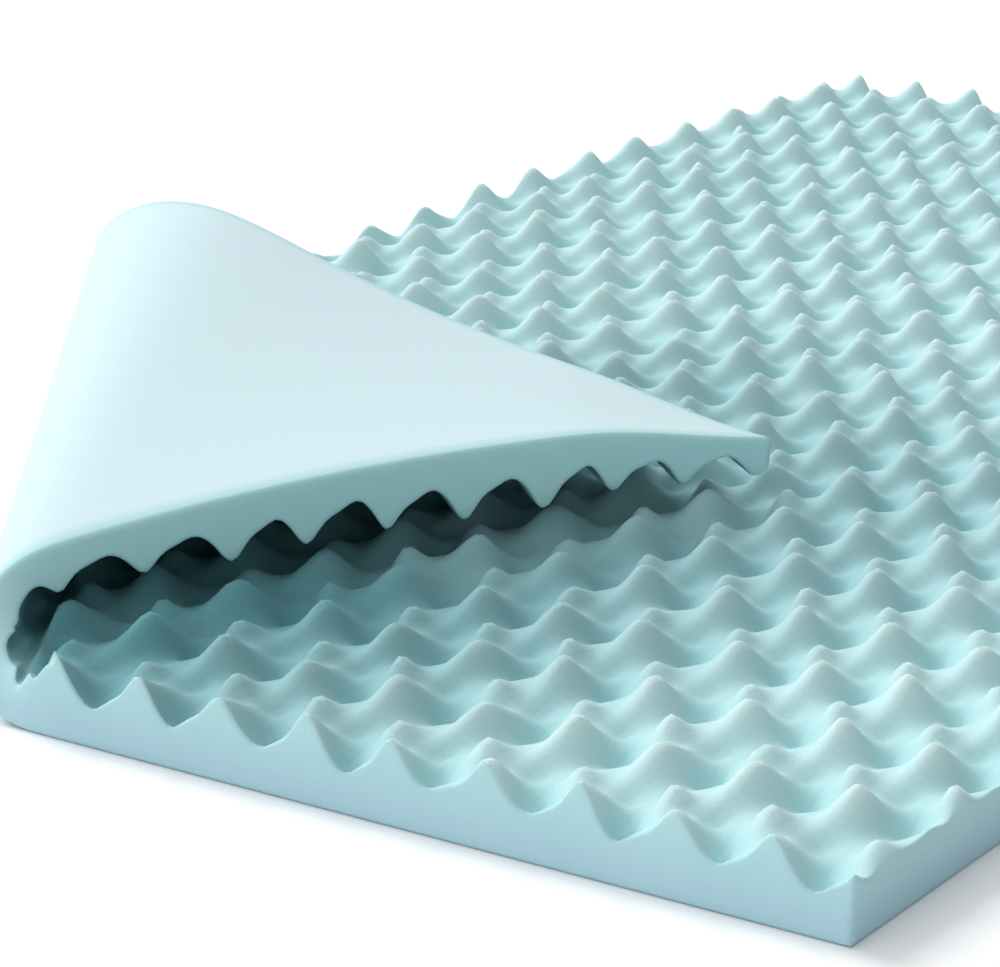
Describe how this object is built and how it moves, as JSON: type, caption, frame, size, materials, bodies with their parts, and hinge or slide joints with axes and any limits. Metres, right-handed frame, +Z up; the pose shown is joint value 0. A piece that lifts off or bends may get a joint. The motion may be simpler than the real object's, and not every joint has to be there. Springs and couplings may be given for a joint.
{
  "type": "mattress topper",
  "caption": "Convoluted foam mattress topper lying bumpy side up, one front corner folded back over it to show the smooth underside.",
  "frame": {"origin": "centre of the footprint, on the surface the topper lies on", "axes": "+Y from the edge with the folded corner towards the far edge, along the length; +Z up, out of the bumpy face; +X across the bed, towards the corner that is not folded"},
  "size_m": [0.991, 1.905, 0.1632],
  "materials": {
    "foam": "matt open-cell foam, pale aqua"
  },
  "bodies": {
    "root": {"topper": "foam"}
  },
  "joints": []
}
